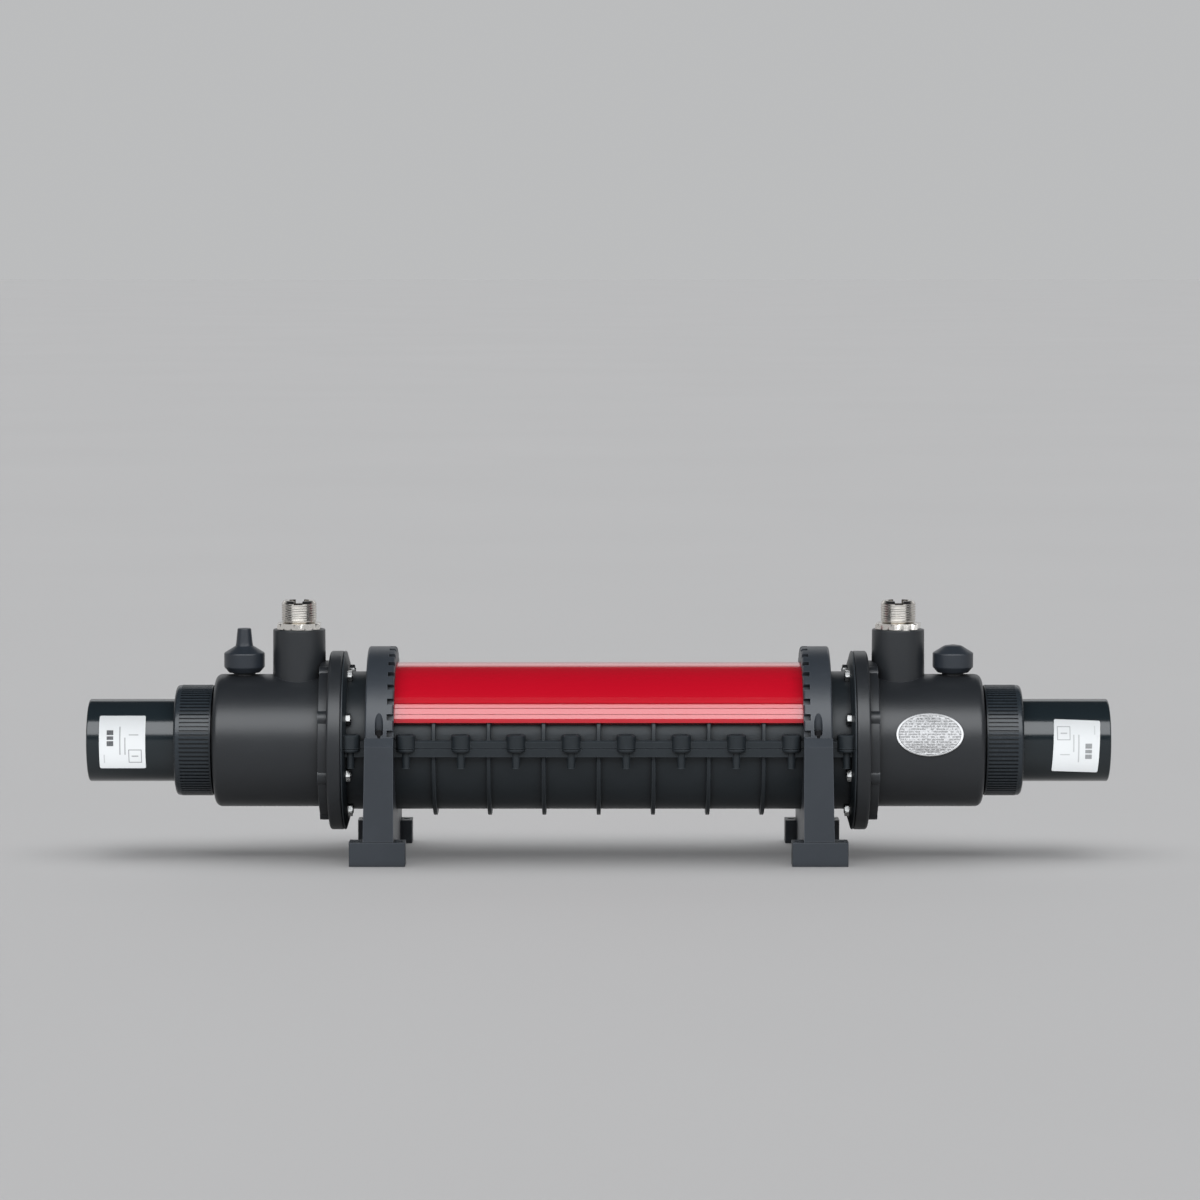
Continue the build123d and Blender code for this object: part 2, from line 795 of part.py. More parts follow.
for name, side in sides:
    with BuildPart() as saddle:
        # plate from the floor to the clamp joint
        with BuildSketch(across(side * bracket_inner)):
            with BuildLine():
                Polyline(
                    (-leg_face_y, floor),
                    (-leg_face_y, leg_shoulder),
                    (-bracket_ring_r, clamp_split),
                    (bracket_ring_r, clamp_split),
                    (leg_face_y, leg_shoulder),
                    (leg_face_y, floor),
                    close=True,
                )
            make_face()
        extrude(amount=side * bracket_width)
        for way in (-1, 1):
            # leg, wider towards the foot on its outer side
            with BuildSketch(Plane(origin=(0, way * leg_face_y, axis_height), x_dir=(1, 0, 0),
                                   z_dir=(0, -1, 0))):
                with BuildLine():
                    Polyline(
                        (side * bracket_inner, leg_shoulder - 2),
                        (side * bracket_outer, leg_shoulder - 2),
                        (side * leg_foot_x, foot_top - 1),
                        (side * bracket_inner, foot_top - 1),
                        close=True,
                    )
                make_face()
            extrude(amount=way * (leg_face_y - leg_inner_y))
            # foot
            with BuildSketch(level(floor)):
                foot_spot = (side * (foot_inner_x + foot_outer_x) / 2, way * (leg_face_y + leg_inner_y) / 2)
                with Locations(foot_spot):
                    RectangleRounded(foot_outer_x - foot_inner_x, leg_face_y - leg_inner_y, 1.0)
            extrude(amount=foot_height)
            with BuildSketch(level(foot_top)):
                with Locations((side * (bracket_inner + bracket_outer) / 2, way * leg_face_y)):
                    Rectangle(2 * bracket_width, foot_groove)
            extrude(amount=foot_groove, mode=Mode.SUBTRACT)
        # barrel seat, and room for the seam flanges dropped in from above
        with BuildSketch(across(side * (bracket_inner - 1))):
            Circle(bracket_seat_r)
            with Locations((0, (seam_bottom - 0.5 + clamp_split + 1) / 2)):
                Rectangle(2 * (seam_y + 0.7), clamp_split + 1 - seam_bottom + 0.5)
        extrude(amount=side * (bracket_width + 3), mode=Mode.SUBTRACT)
        # pockets in the outer face, with ribs left between them
        with BuildSketch(across(side * (bracket_inner + saddle_web))):
            with Locations((0, floor + 10 + 32)):
                Rectangle(2 * (leg_inner_y - 2), 64)
            Circle(bracket_seat_r + 8, mode=Mode.SUBTRACT)
            with Locations((-26, -40), (0, -40), (26, -40)):
                Rectangle(4, 100, mode=Mode.SUBTRACT)
        extrude(amount=side * bracket_width, mode=Mode.SUBTRACT)
        # relief under the plate
        with BuildSketch(across(side * (bracket_inner - 1))):
            with Locations((0, floor)):
                Rectangle(saddle_relief[0], 2 * saddle_relief[1])
        extrude(amount=side * (bracket_width + 3), mode=Mode.SUBTRACT)
        # screw holes: two to the floor in each foot, and one up each leg
        with BuildSketch(level(floor)):
            with Locations((side * foot_hole_x, 0)):
                with GridLocations(foot_hole_spacing_x, foot_hole_spacing_y, 2, 2):
                    Circle(foot_hole_d / 2)
        extrude(amount=foot_height + 1, mode=Mode.SUBTRACT)
        with BuildSketch(level(clamp_split)):
            with Locations((side * clamp_screw_x, -clamp_screw_y), (side * clamp_screw_x, clamp_screw_y)):
                Circle(1.75)
        extrude(amount=-clamp_screw_length - 2, mode=Mode.SUBTRACT)
    save(saddle.part, f"{name}_saddle")

    with BuildPart() as cap:
        turn(
            side,
            [
                (bracket_inner, cover_r + 0.4),
                (bracket_inner, bracket_ring_r),
                (bracket_outer, bracket_ring_r),
                (bracket_outer, bracket_seat_r),
                (cover_half_length + 0.4, bracket_seat_r),
                (cover_half_length + 0.4, cover_r + 0.4),
            ],
            rounds=[(1, 1.8), (2, 1.8)],
        )
        split(bisect_by=level(clamp_split + 0.1), keep=Keep.TOP)
        # notches around the inner rim
        with BuildSketch(across(side * (bracket_inner - 1))):
            with PolarLocations(bracket_ring_r, notch_count, start_angle=notch_pitch,
                                angular_range=notch_pitch * (notch_count - 1), endpoint=True):
                Rectangle(2 * notch_depth, notch_width)
        extrude(amount=side * 6.0, mode=Mode.SUBTRACT)
        # clamp screws, their heads sunk from above
        clamp_spots = [(side * clamp_screw_x, way * clamp_screw_y) for way in (-1, 1)]
        with BuildSketch(level(clamp_split - 1)):
            with Locations(*clamp_spots):
                Circle(1.95)
        extrude(amount=6, mode=Mode.SUBTRACT)
        with BuildSketch(level(clamp_screw_seat)):
            with Locations(*clamp_spots):
                Circle(clamp_head_d / 2)
        extrude(amount=30, mode=Mode.SUBTRACT)
    save(cap.part, f"{name}_clamp_cap")

    with BuildPart() as clamp_screws:
        with BuildSketch(level(clamp_split - clamp_screw_length)):
            with Locations(*clamp_spots):
                Circle(1.7)
        extrude(amount=clamp_screw_seat - clamp_split + clamp_screw_length)
        with BuildSketch(level(clamp_screw_seat)):
            with Locations(*clamp_spots):
                Circle(2.9)
        extrude(amount=3.2)
        screw_tops = clamp_screws.faces().filter_by(Axis.Z).group_by(Axis.Z)[-1].edges()
        chamfer(screw_tops, 0.4)
        with BuildSketch(level(clamp_screw_seat + 1.4)):
            with Locations(*clamp_spots):
                RegularPolygon(1.25, 6, major_radius=False)
        extrude(amount=3, mode=Mode.SUBTRACT)
    save(clamp_screws.part, f"{name}_clamp_screws")

# --- titanium coil and what holds it ------------------------------------------------------

coil_half_length = coil_turns * coil_pitch / 2
lean = coil_pitch / (2 * pi * coil_r)
lead_start = Vector(coil_half_length, coil_r, axis_height)
lead_route = [
    lead_start,
    lead_start + Vector(lean, 0, 1) * 20,
    Vector(port_x, 0, axis_height + 34),
    Vector(port_x, 0, axis_height + port_top - 9.5),
]

with BuildPart() as heating_coil:
    # the winding ends heading up on both sides: at the back on the right, at the front on the left
    with BuildLine(mode=Mode.PRIVATE) as winding:
        Helix(coil_pitch, 2 * coil_half_length, coil_r, center=(-coil_half_length, 0, axis_height),
              direction=(1, 0, 0))
    turns = winding.line.rotate(barrel_axis, 90)
    with BuildSketch(Plane(origin=turns @ 0, z_dir=turns % 0)):
        Circle(coil_tube_r)
    sweep(path=turns, is_frenet=True)
    # each end runs on towards its port and turns up into the connector
    for side in (-1, 1):
        with BuildLine(mode=Mode.PRIVATE) as lead:
            FilletPolyline(*[Vector(side * p.X, side * p.Y, p.Z) for p in lead_route], radius=[16, 22])
        with BuildSketch(Plane(origin=lead.line @ 0, z_dir=lead.line % 0)):
            Circle(coil_tube_r)
        sweep(path=lead.line)
save(heating_coil.part, "heating_coil")

with BuildPart() as coil_core:
    for side in (-1, 1):
        turn(
            side,
            [
                (0, core_r - core_wall),
                (0, core_r),
                (core_half_length, core_r),
                (core_half_length + core_nose, 12),
                (core_half_length + core_nose, 3),
                (core_half_length + core_nose - 3, 3),
                (core_half_length + core_nose - 3, 10.5),
                (core_half_length - 2, core_r - core_wall),
            ],
        )
save(coil_core.part, "coil_core")

for name, side in sides:
    with BuildPart() as support:
        rim_inner_r = barrel_r - barrel_wall - support_rim
        with BuildSketch(across(side * (support_x - support_width / 2))):
            Circle(barrel_r - barrel_wall - 0.2)
            Circle(rim_inner_r, mode=Mode.SUBTRACT)
            Circle(core_r + support_rim)
            with PolarLocations((core_r + rim_inner_r) / 2, 3, start_angle=90):
                Rectangle(rim_inner_r - core_r, 4)
            Circle(core_r + 0.1, mode=Mode.SUBTRACT)
        extrude(amount=side * support_width)
    save(support.part, f"{name}_core_support")
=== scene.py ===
import json
from math import asin, cos, pi, radians, sin

import bmesh
import bpy
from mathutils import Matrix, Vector


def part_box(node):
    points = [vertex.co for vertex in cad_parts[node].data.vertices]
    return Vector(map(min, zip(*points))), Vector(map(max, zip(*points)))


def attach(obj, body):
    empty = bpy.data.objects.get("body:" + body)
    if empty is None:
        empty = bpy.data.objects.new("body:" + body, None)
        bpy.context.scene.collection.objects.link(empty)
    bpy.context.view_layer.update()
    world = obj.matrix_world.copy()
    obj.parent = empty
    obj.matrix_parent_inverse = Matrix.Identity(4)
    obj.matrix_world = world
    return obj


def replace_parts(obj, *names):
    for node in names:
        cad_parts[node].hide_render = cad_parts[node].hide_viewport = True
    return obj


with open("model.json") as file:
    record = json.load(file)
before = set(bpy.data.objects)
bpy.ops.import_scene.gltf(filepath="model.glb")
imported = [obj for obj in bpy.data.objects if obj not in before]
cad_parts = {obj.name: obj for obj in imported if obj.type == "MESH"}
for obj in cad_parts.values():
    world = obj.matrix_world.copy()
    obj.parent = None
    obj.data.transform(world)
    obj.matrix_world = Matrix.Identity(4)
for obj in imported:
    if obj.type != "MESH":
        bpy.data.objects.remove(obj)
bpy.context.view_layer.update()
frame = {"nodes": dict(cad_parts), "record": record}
nodes = frame["nodes"]
print("frame loaded with", len(nodes), "nodes")

sides = {"left": -1, "right": 1}
tailLow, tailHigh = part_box("left_union_tail")
barrelAxis = (tailLow.z + tailHigh.z) / 2  # height of the line that the barrel and both unions share
cornerReach = 1 / cos(pi / 6)  # a hexagon's corners, in halves of its width across flats


class Signal:
    # one output of a node, so that shader sums read as sums
    def __init__(self, wiring, socket):
        self.wiring = wiring
        self.socket = socket

    def __add__(self, other):
        return self.wiring.calculate("ADD", self, other)

    def __radd__(self, other):
        return self.wiring.calculate("ADD", other, self)

    def __sub__(self, other):
        return self.wiring.calculate("SUBTRACT", self, other)

    def __rsub__(self, other):
        return self.wiring.calculate("SUBTRACT", other, self)

    def __mul__(self, other):
        return self.wiring.calculate("MULTIPLY", self, other)

    def __rmul__(self, other):
        return self.wiring.calculate("MULTIPLY", other, self)

    def __truediv__(self, other):
        return self.wiring.calculate("DIVIDE", self, other)

    def __rtruediv__(self, other):
        return self.wiring.calculate("DIVIDE", other, self)

    def __pow__(self, other):
        return self.wiring.calculate("POWER", self, other)

    def __rpow__(self, other):
        return self.wiring.calculate("POWER", other, self)

    def __gt__(self, other):
        return self.wiring.calculate("GREATER_THAN", self, other)

    def __lt__(self, other):
        return self.wiring.calculate("LESS_THAN", self, other)

    def __abs__(self):
        return self.wiring.calculate("ABSOLUTE", self)


class Wiring:
    # adds nodes to one tree and links them
    def __init__(self, tree):
        self.tree = tree

    def node(self, kind, settings=None, sockets=None, out=0):
        made = self.tree.nodes.new(kind)
        for title, value in (settings or {}).items():
            if title == "stops":
                self.fillRamp(made.color_ramp, value)
            else:
                setattr(made, title, value)
        for title, value in (sockets or {}).items():
            self.feed(made.inputs[title], value)
        return Signal(self, made.outputs[out])

    def fillRamp(self, ramp, stops):
        while len(ramp.elements) < len(stops):
            ramp.elements.new(1.0)
        for element, (place, colour) in zip(ramp.elements, stops):
            element.position = place
            element.color = (*colour, 1)

    def feed(self, socket, value):
        if isinstance(value, Signal):
            self.tree.links.new(value.socket, socket)
        elif socket.type == "RGBA":
            socket.default_value = (*value, 1)
        else:
            socket.default_value = value

    def calculate(self, operation, *values):
        return self.node("ShaderNodeMath", {"operation": operation}, dict(enumerate(values)))

    def clamp(self, value):
        return self.node("ShaderNodeClamp", None, {"Value": value})

    def above(self, value, level, gain):
        # 0 up to the level, then climbing to 1
        return self.clamp((value - level) * gain)

    def ramp(self, value, low, high):
        # 0 at low and 1 at high, whichever is the larger number
        return self.node("ShaderNodeMapRange", None, {"Value": value, "From Min": low, "From Max": high})

    def mix(self, low, high, factor):
        return self.node("ShaderNodeMix", {"data_type": "RGBA"}, {0: factor, 6: low, 7: high}, out=2)

    def split(self, vector):
        parts = self.node("ShaderNodeSeparateXYZ", None, {0: vector})
        return [Signal(self, output) for output in parts.socket.node.outputs]

    def noise(self, vector, scale, detail=2.0, roughness=0.5):
        # three numbers as the scale stretch the noise along the axes
        if isinstance(scale, tuple):
            vector = self.node("ShaderNodeVectorMath", {"operation": "MULTIPLY"}, {0: vector, 1: scale})
            scale = 1.0
        return self.node("ShaderNodeTexNoise", None,
                         {"Vector": vector, "Scale": scale, "Detail": detail, "Roughness": roughness})

    def bump(self, height, distance):
        return self.node("ShaderNodeBump", None, {"Height": height, "Distance": distance, "Strength": 1.0})


maskLook = {"samples": 6, "edgeGain": 5.0, "creviceGain": 1.4, "creviceStart": 0.2}


class Finish(Wiring):
    # one material, built up round its Principled shader
    def __init__(self, name, plain):
        self.material = bpy.data.materials.new(name)
        self.material.use_nodes = True
        super().__init__(self.material.node_tree)
        self.shader = self.tree.nodes["Principled BSDF"]
        for title, value in plain.items():
            self.shader.inputs[title].default_value = value

    def place(self):
        # metres in the frame, since the pieces have their origins there
        return self.node("ShaderNodeTexCoord", out=3)

    def edges(self, radius):
        # 0 on flat ground, up to 1 where the surface turns within the radius
        bevelled = self.node("ShaderNodeBevel", {"samples": maskLook["samples"]}, {"Radius": radius})
        straight = self.node("ShaderNodeNewGeometry", out=1)
        likeness = self.node("ShaderNodeVectorMath", {"operation": "DOT_PRODUCT"},
                             {0: bevelled, 1: straight}, out=1)
        return self.clamp((1.0 - likeness) * maskLook["edgeGain"])

    def crevices(self, reach):
        # 0 in the open, up to 1 deep in a corner or a slot
        openness = self.node("ShaderNodeAmbientOcclusion", {"samples": maskLook["samples"]},
                             {"Distance": reach}, out=1)
        return self.clamp((1.0 - openness) * maskLook["creviceGain"] - maskLook["creviceStart"])

    def use(self, title, value):
        self.feed(self.shader.inputs[title], value)


# In the looks below a noise is its scale or stretch, then its detail and roughness. A name that ends
# in From holds the level at which a mask starts, then its gain.

# moulded plastics: fine spark-eroded grain, faint flow clouds, paler edges that are partly painted highlight
# and partly wear, corners darkened by painted shade and dulled by grime

mouldingLook = {
    "cloud": (11.0, 3.0, 0.55), "contrast": 1.8, "flow": ((6.0, 34.0, 34.0), 4.0, 0.6), "flowRelief": 0.6,
    "dust": (160.0, 4.0, 0.7), "dustFrom": (0.55, 3.0), "grainDetail": (2.0, 0.6),
    "shadeAndGrime": (0.0022, 0.0024, 0.0028), "shadeAndGrimeReach": 0.006, "creviceShadeCover": 0.85,
    "dulledBy": {"cloud": 0.10, "grain": 0.08, "dust": 0.08, "shadeAndGrime": 0.25},
}
shellLook = {
    "dark": (0.0115, 0.0148, 0.0175), "light": (0.0168, 0.0208, 0.0242), "edge": (0.066, 0.075, 0.084),
    "roughness": 0.38, "shine": 0.32, "grain": 1700.0, "grainDepth": 0.00003, "edgeRadius": 0.0009,
    "edgeSheenAndWear": 0.65, "dust": 0.06,
}
housingLook = {
    "dark": (0.0112, 0.0126, 0.0146), "light": (0.0160, 0.0178, 0.0202), "edge": (0.058, 0.064, 0.072),
    "roughness": 0.37, "shine": 0.5, "grain": 1500.0, "grainDepth": 0.000035, "edgeRadius": 0.0010,
    "edgeSheenAndWear": 0.6, "dust": 0.06,
}
bracketLook = {
    "dark": (0.0190, 0.0232, 0.0290), "light": (0.0265, 0.0316, 0.0385), "edge": (0.080, 0.090, 0.104),
    "roughness": 0.40, "shine": 0.5, "grain": 1300.0, "grainDepth": 0.000035, "edgeRadius": 0.0010,
    "edgeSheenAndWear": 0.6, "dust": 0.08,
}
plugLook = {
    "dark": (0.0140, 0.0175, 0.0230), "light": (0.0200, 0.0245, 0.0310), "edge": (0.070, 0.080, 0.094),
    "roughness": 0.36, "shine": 0.5, "grain": 1900.0, "grainDepth": 0.00003, "edgeRadius": 0.0008,
    "edgeSheenAndWear": 0.5, "dust": 0.06,
}
nutLook = {
    "dark": (0.0060, 0.0085, 0.0110), "light": (0.0090, 0.0120, 0.0150), "edge": (0.055, 0.064, 0.076),
    "roughness": 0.27, "shine": 0.42, "grain": 1700.0, "grainDepth": 0.000012, "edgeRadius": 0.0005,
    # crest: a paler colour painted on the ribs' crests as a highlight
    "edgeSheenAndWear": 0.2, "dust": 0.03, "crest": (0.017, 0.022, 0.027),
    "crestFrom": (0.0411, 2500.0),  # radius near the ribs' crests, where the colour comes in over 0.4 mm
}


def mouldedPlastic(name, look):
    common, dulledBy = mouldingLook, mouldingLook["dulledBy"]
    finish = Finish(name, {"Specular IOR Level": look["shine"], "IOR": 1.5})
    place = finish.place()
    grain = finish.noise(place, look["grain"], *common["grainDetail"])
    cloud = finish.noise(place, *common["cloud"])
    flow = finish.noise(place, *common["flow"])
    dust = finish.above(finish.noise(place, *common["dust"]), *common["dustFrom"])
    shade = finish.clamp((cloud - 0.5) * common["contrast"] + 0.5)
    body = finish.mix(look["dark"], look["light"], shade)
    # painted highlight: the ribs' crests are paler than their roots
    if "crest" in look:
        y, z = finish.split(place)[1:]
        rise = z - barrelAxis
        radius = (y * y + rise * rise) ** 0.5
        body = finish.mix(body, look["crest"], finish.above(radius, *look["crestFrom"]))
    # painted highlight and wear: edges turn paler
    sheenAndWear = finish.edges(look["edgeRadius"]) * look["edgeSheenAndWear"]
    edged = finish.mix(body, look["edge"], finish.clamp(sheenAndWear * (0.5 + flow)))
    dusted = finish.mix(edged, look["edge"], dust * look["dust"])
    # painted shade: the base colour darkens to near black in corners and slots, and the same mask dulls the
    # roughness as grime
    shadeAndGrime = finish.crevices(common["shadeAndGrimeReach"])
    finish.use("Base Color", finish.mix(dusted, common["shadeAndGrime"], shadeAndGrime * common["creviceShadeCover"]))
    uneven = (cloud - 0.5) * dulledBy["cloud"] + (grain - 0.5) * dulledBy["grain"]
    soiled = dust * dulledBy["dust"] + shadeAndGrime * dulledBy["shadeAndGrime"]
    finish.use("Roughness", look["roughness"] + uneven + soiled)
    finish.use("Normal", finish.bump(grain + flow * common["flowRelief"], look["grainDepth"]))
    return finish.material


# glossy mouldings: the union tails and the red cover

tailLook = {
    "dark": (0.0075, 0.0115, 0.0140), "light": (0.0105, 0.0155, 0.0185), "cloud": (16.0, 3.0),
    "wave": ((9.0, 22.0, 22.0), 2.0), "fine": ((900.0, 120.0, 120.0), 3.0, 0.7),
    "scuffs": (70.0, 5.0, 0.75), "scuffsFrom": (0.58, 4.0),
    "roughness": 0.15, "scuffDull": 0.08, "fineDull": 0.03,
    "waveRelief": 3.0, "fineRelief": 0.05, "relief": 0.00012,
}


def glossTailPlastic(look):
    finish = Finish("glossTailPlastic", {"Specular IOR Level": 0.5, "IOR": 1.54})
    place = finish.place()
    cloud = finish.noise(place, *look["cloud"])
    wave = finish.noise(place, *look["wave"])
    fine = finish.noise(place, *look["fine"])
    scuffs = finish.above(finish.noise(place, *look["scuffs"]), *look["scuffsFrom"])
    finish.use("Base Color", finish.mix(look["dark"], look["light"], cloud))
    finish.use("Roughness", look["roughness"] + scuffs * look["scuffDull"] + (fine - 0.5) * look["fineDull"])
    finish.use("Normal", finish.bump(wave * look["waveRelief"] + fine * look["fineRelief"], look["relief"]))
    return finish.material


coverLook = {
    "deep": (0.36, 0.0012, 0.0095), "bright": (0.43, 0.0018, 0.0125), "groove": (0.16, 0.001, 0.003),
    "cloud": (7.0, 3.0), "drawn": ((3.0, 1500.0, 1500.0), 3.0, 0.65),  # its fine lines run along X
    "orangePeel": (240.0, 2.0), "cloudShare": 0.7, "edgeRadius": 0.0006, "grooveShade": 0.5,
    "roughness": 0.20, "drawnDull": 0.10, "cloudDull": 0.05, "coat": 0.95, "coatSwing": 0.2,
    "coatRoughness": 0.06, "drawnRelief": 0.4, "peelRelief": 0.5, "relief": 0.00004,
}


def redCoverPlastic(look):
    plain = {"Specular IOR Level": 0.5, "IOR": 1.52, "Coat Roughness": look["coatRoughness"]}
    finish = Finish("redCoverGloss", plain)
    place = finish.place()
    cloud = finish.noise(place, *look["cloud"])
    drawn = finish.noise(place, *look["drawn"])
    orangePeel = finish.noise(place, *look["orangePeel"])
    tone = finish.clamp(cloud * look["cloudShare"] + drawn * (1 - look["cloudShare"]))
    red = finish.mix(look["deep"], look["bright"], tone)
    # painted shade: the edges of the cover's grooves turn dark red
    grooved = finish.edges(look["edgeRadius"]) * look["grooveShade"]
    finish.use("Base Color", finish.mix(red, look["groove"], grooved))
    uneven = (drawn - 0.5) * look["drawnDull"] + (cloud - 0.5) * look["cloudDull"]
    finish.use("Roughness", look["roughness"] + uneven)
    finish.use("Coat Weight", look["coat"] + (cloud - 0.5) * look["coatSwing"])
    height = drawn * look["drawnRelief"] + orangePeel * look["peelRelief"]
    finish.use("Normal", finish.bump(height, look["relief"]))
    return finish.material


# metals

connectorLook = {
    "acrossFlats": 0.0320, "hexTurn": {"left": 0.0, "right": radians(-12)}, "steps": 120,
    # heights above the barrel's axis
    "collarBottom": 0.0843, "collarTop": 0.0892, "threadTop": 0.1060, "boreFloor": 0.0760,
    "bore": 0.0085, "stemRadius": 0.0105, "stemDepth": 0.006,
    # rises from the collar's bottom, then from its top, each with how far the chamfered corners reach
    "foot": ((0.0, 1.01), (0.0004, cornerReach)),
    "crown": ((-0.0007, cornerReach), (-0.0002, 1.06), (0.0, 0.99)),
    # rises from the collar's top, then from the thread's top, each with its radius
    "runOut": ((0.0, 0.0127), (0.0006, 0.0120)),
    "mouth": ((-0.0002, 0.01182), (0.0, 0.01152), (0.0, 0.0090), (-0.0005, 0.0085)),
    "crest": 0.01322, "depth": 0.00032, "pitch": 0.001814, "ringsPerTurn": 9,
    "threadStart": 0.0011, "threadEnd": 0.0012, "leadCut": 0.0009, "leadSlope": 0.9,
    # rises from the thread's top, each with how far the slot flares there
    "slotLevels": ((-0.0030, 0.0), (-0.0004, 0.0), (0.0020, 0.0012)), "slotWidth": 0.0063,
    "slotReach": 1.3,  # its half length, in crest radii
}
nickelLook = {
    "bright": (0.66, 0.63, 0.585), "warm": (0.46, 0.42, 0.37), "collarSheen": (0.88, 0.85, 0.80),
    "turned": ((60.0, 60.0, 3200.0), 3.0, 0.6), "tarnish": (90.0, 4.0, 0.6), "tarnishFrom": (0.42, 2.6),
    "tarnishShade": 0.35, "turnedShade": 0.06, "roughness": 0.15, "tarnishDull": 0.08,
    "turnedDull": 0.06, "relief": 0.000008,
}


def nickelPlate(look):
    finish = Finish("nickelPlate", {"Metallic": 1.0, "Anisotropic": 0.2})
    place = finish.place()
    turned = finish.noise(place, *look["turned"])
    tarnish = finish.above(finish.noise(place, *look["tarnish"]), *look["tarnishFrom"])
    dulled = tarnish * look["tarnishShade"] + turned * look["turnedShade"]
    plated = finish.mix(look["bright"], look["warm"], dulled)
    z = finish.split(place)[2]
    onCollar = z < barrelAxis + connectorLook["collarTop"]  # painted sheen: the collar is paler than the thread
    finish.use("Base Color", finish.mix(plated, look["collarSheen"], onCollar))
    uneven = tarnish * look["tarnishDull"] + (turned - 0.5) * look["turnedDull"]
    finish.use("Roughness", look["roughness"] + uneven)
    finish.use("Normal", finish.bump(turned, look["relief"]))
    return finish.material


brightSteelLook = {
    "clear": (0.55, 0.55, 0.545), "dull": (0.42, 0.42, 0.41), "spangle": (420.0, 3.0, 0.6),
    "pits": (1500.0, 3.0, 0.7), "pitsFrom": (0.56, 4.0), "spangleShare": 0.7,
    "roughness": 0.26, "spangleDull": 0.2, "pitDull": 0.15, "pitRelief": 0.5, "relief": 0.00003,
}


def brightSteel(look):
    finish = Finish("zincBrightSteel", {"Metallic": 1.0})
    place = finish.place()
    spangle = finish.noise(place, *look["spangle"])
    pits = finish.above(finish.noise(place, *look["pits"]), *look["pitsFrom"])
    dulled = spangle * look["spangleShare"] + pits * (1 - look["spangleShare"])
    finish.use("Base Color", finish.mix(look["clear"], look["dull"], dulled))
    uneven = (spangle - 0.5) * look["spangleDull"] + pits * look["pitDull"]
    finish.use("Roughness", look["roughness"] + uneven)
    finish.use("Normal", finish.bump(spangle + pits * look["pitRelief"], look["relief"]))
    return finish.material


blackScrewLook = {
    "oxide": (0.018, 0.018, 0.020), "rubbed": (0.11, 0.105, 0.10), "mottled": (500.0, 3.0, 0.6),
    "edgeRadius": 0.0004, "rubbedLeast": 0.4, "roughness": 0.38, "mottledDull": 0.2, "relief": 0.00003,
}


def blackScrewSteel(look):
    finish = Finish("blackScrewSteel", {"Metallic": 0.85})
    mottled = finish.noise(finish.place(), *look["mottled"])
    rubbed = finish.clamp(finish.edges(look["edgeRadius"]) * (look["rubbedLeast"] + mottled))
    finish.use("Base Color", finish.mix(look["oxide"], look["rubbed"], rubbed))
    finish.use("Roughness", look["roughness"] + (mottled - 0.5) * look["mottledDull"])
    finish.use("Normal", finish.bump(mottled, look["relief"]))
    return finish.material


titaniumLook = {
    "heat": (18.0, 3.0), "drawn": ((40.0, 900.0, 900.0), 3.0),
    "tints": [(0.30, (0.40, 0.38, 0.35)), (0.55, (0.47, 0.46, 0.45)), (0.78, (0.43, 0.40, 0.44))],
    "roughness": 0.30, "drawnDull": 0.2, "relief": 0.00003,
}


def titaniumTube(look):
    finish = Finish("drawnTitanium", {"Metallic": 1.0})
    place = finish.place()
    drawn = finish.noise(place, *look["drawn"])
    heat = finish.noise(place, *look["heat"])
    finish.use("Base Color", finish.node("ShaderNodeValToRGB", {"stops": look["tints"]}, {"Fac": heat}))
    finish.use("Roughness", look["roughness"] + (drawn - 0.5) * look["drawnDull"])
    finish.use("Normal", finish.bump(drawn, look["relief"]))
    return finish.material


rubberLook = {
    "black": (0.010, 0.010, 0.010), "bloomed": (0.026, 0.026, 0.027), "bloom": (130.0, 4.0, 0.6),
    "pores": (2400.0, 2.0), "roughness": 0.62, "bloomDull": 0.25, "relief": 0.00004,
}


def sealRubber(look):
    finish = Finish("blackSealRubber", {"Specular IOR Level": 0.35})
    place = finish.place()
    bloom = finish.noise(place, *look["bloom"])
    finish.use("Base Color", finish.mix(look["black"], look["bloomed"], bloom))
    finish.use("Roughness", look["roughness"] + (bloom - 0.5) * look["bloomDull"])
    finish.use("Normal", finish.bump(finish.noise(place, *look["pores"]), look["relief"]))
    return finish.material


# badge: a bright raised rim round a dimmer field with rows of pressed dashes, and nothing written on it

badgeLook = {
    "radii": (0.02535, 0.0160), "lean": 11.0, "housingRadius": 0.0500, "seat": 0.00005,
    "rimHeight": 0.00125, "fieldHeight": 0.00085, "rimInside": 0.93, "slopeWidth": 0.03,
    "edgeStart": 0.985, "edgeDrop": 0.9, "spokes": 144, "sharpAngle": 40.0,
    # where the rings stand on the field and on the rim, as shares of the radii
    "fieldRings": (0.02, 0.25, 0.5, 0.7, 0.8), "rimRings": (0.95, 0.97, 0.985, 0.99, 0.995, 1.0),
    "slopeRings": 4,
    "bright": (0.58, 0.58, 0.585), "dim": (0.20, 0.20, 0.198),
    "rowHeight": 0.0019, "rowShare": 0.50, "rowStep": 7.3, "dashLength": 0.0021, "dashLevel": 0.47,
    "dashShade": 0.75, "speck": (900.0, 3.0, 0.7), "speckShade": 2.6, "pressedShade": 0.75,
    "roughness": 0.30, "fieldDull": 0.14, "speckDull": 0.12, "relief": 0.00012,
}


